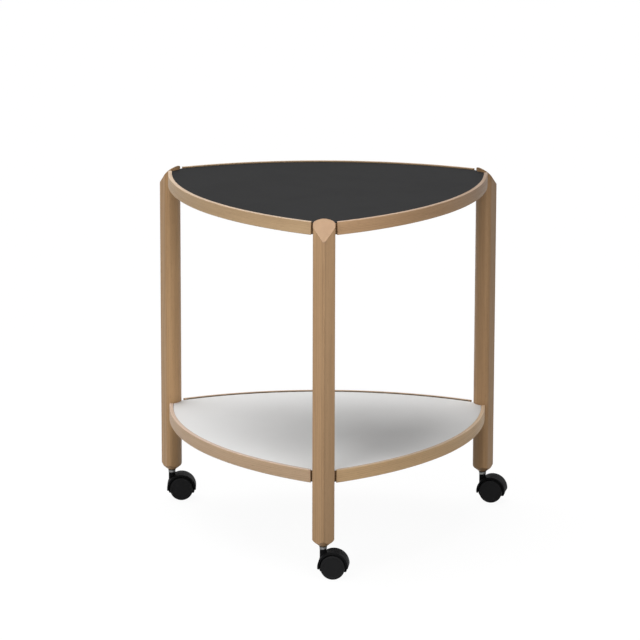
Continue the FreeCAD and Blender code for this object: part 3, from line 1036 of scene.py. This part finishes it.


# The wood that each leg and band is sawn from. The tones and drifts are partly the wood's own and partly
# painted light and shade, matched piece by piece to how each piece is lit.
LEG_STOCK = {
    Corner.FRONT: Stock(heart=(-0.095, 0.052, 0.31), tone=(1.03, 0.98, 0.98)),
    Corner.REAR_LEFT: Stock(heart=(-0.08, -0.07, 1.37), tone=(1.21, 1.14, 1.1)),
    Corner.REAR_RIGHT: Stock(heart=(-0.11, 0.03, 2.52), tone=(1.11, 1.03, 0.99), drift=-0.5),
}
BAND_STOCK = {
    Level.UPPER: {
        Side.REAR: Stock(heart=(0.09, 0.05, 0.0)),
        Side.LEFT: Stock(heart=(0.102, 0.03, 3.1), tone=(1.11, 1.16, 1.25), drift=-0.15),
        Side.RIGHT: Stock(heart=(0.114, 0.01, 6.2), tone=(0.77, 0.73, 0.745), drift=-1.0),
    },
    Level.LOWER: {
        Side.REAR: Stock(heart=(0.09, 0.05, 0.7)),
        Side.LEFT: Stock(heart=(0.102, 0.03, 3.8), tone=(1.25, 1.34, 1.64), drift=-0.4),
        Side.RIGHT: Stock(heart=(0.114, 0.01, 6.9), tone=(1.38, 1.42, 1.47), drift=0.15),
    },
}


@dataclass
class Legs:
    """The three oak legs, and the wood at the blind end of each upper insert's hole.

    hole_start and hole_end are how far out from the leg's axis the hole's last stretch runs, past the insert.
    hole_gap is the hole's clearance round the insert, and fill_gap the wood's clearance to hole and cap.
    """

    circle_radius: float = 317.2 * MM
    cap: CapPlane = CapPlane()
    hole_start: float = -1.2 * MM
    hole_end: float = -0.7 * MM
    hole_gap: float = 0.05 * MM
    fill_gap: float = 0.02 * MM
    fill_segments: int = 96

    def fill_hole(self, name: str, stand: Matrix, material: bpy.types.Material) -> None:
        """Closes the hole's end, which would show in the cap, with a thin round of the leg's own wood.

        Args:
            name: the new piece's name.
            stand: the leg's own frame.
            material: the leg's finish.
        """
        low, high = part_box("upper_leg_inserts")
        radius = (high.z - low.z) / 2 + self.hole_gap - self.fill_gap
        middle = Vector(((self.hole_start + self.hole_end) / 2, 0.0, (low.z + high.z) / 2))
        shape = bmesh.new()
        bmesh.ops.create_cone(
            shape,
            cap_ends=True,
            segments=self.fill_segments,
            radius1=radius,
            radius2=radius,
            depth=self.hole_end - self.hole_start - 2 * self.fill_gap,
            matrix=Matrix.Translation(middle) @ Matrix.Rotation(math.pi / 2, 4, "Y"),
        )
        cut = bmesh.ops.bisect_plane(
            shape,
            geom=shape.verts[:] + shape.edges[:] + shape.faces[:],
            plane_co=self.cap.point - self.cap.normal * self.fill_gap,
            plane_no=self.cap.normal,
            clear_outer=True,
        )
        rim = [part for part in cut["geom_cut"] if isinstance(part, bmesh.types.BMEdge)]
        bmesh.ops.edgeloop_fill(shape, edges=rim)
        bmesh.ops.transform(shape, matrix=stand, verts=shape.verts[:])
        bmesh.ops.recalc_face_normals(shape, faces=shape.faces[:])
        piece = make_object(name, shape, material)
        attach(piece, "table")
        LOG.info("%s closes the hole's end", name)

    def build(self, frame: dict[str, Any], tools: Tools, centre: Vector) -> None:
        """Dresses the legs, each sawn from another part of the block.

        Args:
            frame: the loaded frame.
            tools: the shared groups.
            centre: the table's axis.
        """
        for corner, stock in LEG_STOCK.items():
            name = f"leg_{corner.node}"
            axis = centre + corner.outward * self.circle_radius
            finish = SolidOak(f"leg_oak_{corner.node}", stock, cap=self.cap)
            material = finish.build(tools, axis, corner.turn)
            dress(frame, name, material)
            stand = Matrix.Translation(axis) @ Matrix.Rotation(corner.turn, 4, "Z")
            self.fill_hole(f"{name}_hole_end", stand, material)


@dataclass
class Tray:
    """One tray: three bent bands round a laminated board, with its joints to the legs."""

    level: Level
    sheet: LaminateFinish
    # how dark the painted shade on the bands' inner sides is
    inner_painted_shade: float
    band_thickness: float = 6.5 * MM
    arc_radius: float = 517.0 * MM
    corner_radius: float = 318.8 * MM

    @property
    def arc_offset(self) -> float:
        """Works out how far a band's arc centre lies beyond the table's axis.

        Returns:
            The distance.
        """
        half_spacing = math.pi / len(Corner)
        half_chord = self.corner_radius * math.sin(half_spacing)
        return math.sqrt(self.arc_radius**2 - half_chord**2) - self.corner_radius * math.cos(half_spacing)

    def build(self, frame: dict[str, Any], tools: Tools, centre: Vector, shared: Shared) -> None:
        """Dresses the tray.

        Args:
            frame: the loaded frame.
            tools: the shared groups.
            centre: the table's axis.
            shared: the materials of the board and the fasteners.
        """
        level = self.level.value
        for side, stock in BAND_STOCK[self.level].items():
            node = f"{level}_band_{side.node}"
            finish = BentOak(
                f"{level}_band_oak_{side.node}",
                stock,
                inner_side=-self.band_thickness,
                inner_painted_shade=self.inner_painted_shade,
                top_edge=max(corner[2] for corner in frame["nodes"][node].bound_box),
            )
            arc_centre = centre - side.outward * self.arc_offset
            dress(frame, node, finish.build(tools, arc_centre, side.turn, self.arc_radius))
        finishes = {
            "board": shared.core_board,
            "top_laminate": self.sheet.build(tools),
            "under_laminate": self.sheet.build(tools),
            "bolts": shared.zinc_steel,
            "half_round_washers": shared.zinc_steel,
            "leg_inserts": shared.brass,
            "dowels": shared.beech,
        }
        for piece, material in finishes.items():
            dress(frame, f"{level}_{piece}", material)


@dataclass
class Caster:
    """One caster: a moulded hood with a neck, two wheels on an axle, and a steel stem in its socket."""

    corner: Corner

    def build(self, frame: dict[str, Any], shared: Shared) -> None:
        """Dresses the caster.

        Args:
            frame: the loaded frame.
            shared: the materials of the casters.
        """
        finishes = {
            "hood": shared.hood_nylon,
            "wheel_near": shared.wheel_nylon,
            "wheel_far": shared.wheel_nylon,
            "socket": shared.socket_nylon,
            "stem": shared.bright_steel,
            "axle": shared.bright_steel,
            "grip_ring": shared.bright_steel,
        }
        for piece, material in finishes.items():
            dress(frame, f"caster_{self.corner.node}_{piece}", material)


@dataclass(frozen=True)
class CameraFit:
    """Where the photograph was taken from, about the table's own axis."""

    focal_px: float = 3795.1
    image_px: float = 640.0
    sensor_mm: float = 36.0
    distance: float = 6.4969
    target_height: float = 0.33
    elevation: float = math.radians(13.234)
    azimuth: float = math.radians(0.757)
    roll: float = math.radians(0.176)
    target_right_px: float = 6.415
    target_down_px: float = 17.855
    clip_end: float = 100.0

    def build(self, centre: Vector) -> bpy.types.Object:
        """Makes the camera and the scene's view of it.

        Args:
            centre: the table's axis.

        Returns:
            The camera.
        """
        back = direction(self.azimuth, self.elevation)
        place = centre + Vector((0.0, 0.0, self.target_height)) + back * self.distance
        right = (-back).cross(Vector((0.0, 0.0, 1.0))).normalized()
        up = right.cross(-back)
        aim = Matrix((right, up, back)).transposed()
        pan = math.atan(self.target_right_px / self.focal_px)
        tilt = math.atan(self.target_down_px / self.focal_px)
        aim = aim @ Matrix.Rotation(pan, 3, "Y") @ Matrix.Rotation(tilt, 3, "X")
        aim = aim @ Matrix.Rotation(self.roll, 3, "Z")
        data = bpy.data.cameras.new("camera")
        data.sensor_width = self.sensor_mm
        data.lens = self.focal_px * self.sensor_mm / self.image_px
        data.clip_end = self.clip_end
        camera = link("camera", data)
        camera.matrix_world = Matrix.Translation(place) @ aim.to_4x4()
        bpy.context.scene.camera = camera
        return camera


def hang_lamp(name: str, data: bpy.types.Light, location: Vector, back: Vector) -> None:
    """Adds a lamp to the scene.

    Args:
        name: its name.
        data: its kind and strength.
        location: where it hangs.
        back: the direction opposite to where it shines.
    """
    lamp = link(name, data)
    lamp.location = location
    lamp.rotation_mode = "QUATERNION"
    lamp.rotation_quaternion = back.to_track_quat("Z", "Y")


@dataclass(frozen=True)
class Lamp:
    """One large soft studio lamp so far off that it lights the floor evenly, given by its direction."""

    name: str
    azimuth_deg: float
    elevation_deg: float
    spread_deg: float
    level: float

    def build(self, target: Vector) -> None:
        """Makes the lamp.

        A level of 1 lights a face square to it as bright as the face's colour is written.

        Args:
            target: what it points at.
        """
        back = direction(math.radians(self.azimuth_deg), math.radians(self.elevation_deg))
        data = bpy.data.lights.new(self.name, "SUN")
        data.angle = math.radians(self.spread_deg)
        data.energy = self.level * math.pi
        hang_lamp(self.name, data, target + back, back)


@dataclass(frozen=True)
class NearLamp:
    """One square lamp close by, whose light falls off across the table."""

    name: str
    place: Triple
    size: float
    level: float

    def build(self, target: Vector) -> None:
        """Makes the lamp.

        A level of 1 lights a face at the target, square to the lamp, as bright as its colour is written.

        Args:
            target: what it points at.
        """
        location = Vector((target.x, target.y, 0.0)) + Vector(self.place)
        back = location - target
        data = bpy.data.lights.new(self.name, "AREA")
        data.shape = "SQUARE"
        data.size = self.size
        data.energy = self.level * (math.pi * back.length) ** 2
        hang_lamp(self.name, data, location, back)


@dataclass(frozen=True)
class Studio:
    """A plain pale floor, an even sky and soft lamps."""

    floor_width: float = 30.0
    floor_colour: Colour = (0.3, 0.3, 0.3)
    shadow_share: float = 0.2
    white_level: float = 1.18
    sky_level: float = 0.0
    lamp_target: float = 0.35
    lamps: tuple[Union[Lamp, NearLamp], ...] = (
        Lamp("overhead_lamp", azimuth_deg=-90.0, elevation_deg=80.0, spread_deg=60.0, level=0.225),
        Lamp("rear_overhead_lamp", azimuth_deg=-135.0, elevation_deg=70.0, spread_deg=60.0, level=0.774),
        Lamp("front_left_lamp", azimuth_deg=-25.0, elevation_deg=20.0, spread_deg=40.0, level=0.092),
        NearLamp("near_left_lamp", place=(-0.55, -1.1, 0.6), size=0.5, level=0.276),
        NearLamp("near_front_lamp", place=(0.35, -1.1, 0.85), size=0.5, level=0.19),
        NearLamp("near_right_lamp", place=(0.9, -0.9, 0.7), size=0.5, level=0.163),
    )

    def floor_material(self) -> bpy.types.Material:
        """Makes the floor's finish: white to the camera, apart from a part of the shadow that falls on it.

        Returns:
            The material.
        """
        material = bpy.data.materials.new("studio_floor")
        material.use_nodes = True
        graph = Graph(material.node_tree)
        graph.tree.nodes.clear()
        matt = graph.add("ShaderNodeBsdfDiffuse")
        graph.supply(matt, Color=self.floor_colour)
        white = graph.add("ShaderNodeEmission")
        graph.supply(white, Strength=self.white_level)
        mixed = graph.add("ShaderNodeMixShader")
        graph.feed(mixed.inputs[0], graph.math("MULTIPLY", graph.seen(), 1.0 - self.shadow_share))
        graph.feed(mixed.inputs[1], matt.outputs[0])
        graph.feed(mixed.inputs[2], white.outputs[0])
        graph.supply(graph.add("ShaderNodeOutputMaterial"), Surface=mixed.outputs[0])
        return material

    def build(self, centre: Vector) -> None:
        """Makes the floor, the sky and the lamps.

        Args:
            centre: the table's axis.
        """
        shape = bmesh.new()
        bmesh.ops.create_grid(shape, x_segments=1, y_segments=1, size=self.floor_width / 2)
        make_object("studio_floor", shape, self.floor_material())
        world = bpy.data.worlds.new("studio_sky")
        bpy.context.scene.world = world
        world.use_nodes = True
        sky = Graph(world.node_tree)
        level = sky.remap(sky.seen(), (0.0, 1.0), (self.sky_level, 1.0))
        sky.supply(world.node_tree.nodes["Background"], Color=WHITE, Strength=level)
        for lamp in self.lamps:
            lamp.build(centre + Vector((0.0, 0.0, self.lamp_target)))


def table_axis(record: dict[str, Any]) -> Vector:
    """Where the table's own axis meets the floor.

    Args:
        record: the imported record.

    Returns:
        The place.
    """
    mount = next(found for found in record["mounts"] if found["name"] == "upper_tray_surface")
    return Vector((mount["pos_m"][0], mount["pos_m"][1], 0.0))


def main() -> None:
    """Dresses the table piece by piece and sets the studio round it."""
    logging.basicConfig(level=logging.INFO, format="%(message)s")
    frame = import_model()
    bpy.context.scene.view_settings.view_transform = "Standard"
    centre = table_axis(frame["record"])
    tools = Tools.build()
    shared = Shared.build(tools)
    black = LaminateFinish(
        "black_sheet",
        colour=(0.02, 0.02, 0.0205),
        mottled=(0.024, 0.024, 0.0245),
        roughness=0.62,
        specular=0.015,
        marks=0.02,
    )
    white = LaminateFinish(
        "white_sheet",
        colour=(0.815, 0.812, 0.805),
        mottled=(0.85, 0.845, 0.837),
        roughness=0.43,
        specular=0.12,
    )
    Legs().build(frame, tools, centre)
    # each tray's painted shade on its bands' inner sides, weaker on the upper tray
    Tray(Level.UPPER, black, inner_painted_shade=0.85).build(frame, tools, centre, shared)
    Tray(Level.LOWER, white, inner_painted_shade=0.3).build(frame, tools, centre, shared)
    for corner in Corner:
        Caster(corner).build(frame, shared)
    Studio().build(centre)
    CameraFit().build(centre)


if __name__ == "__main__":
    main()
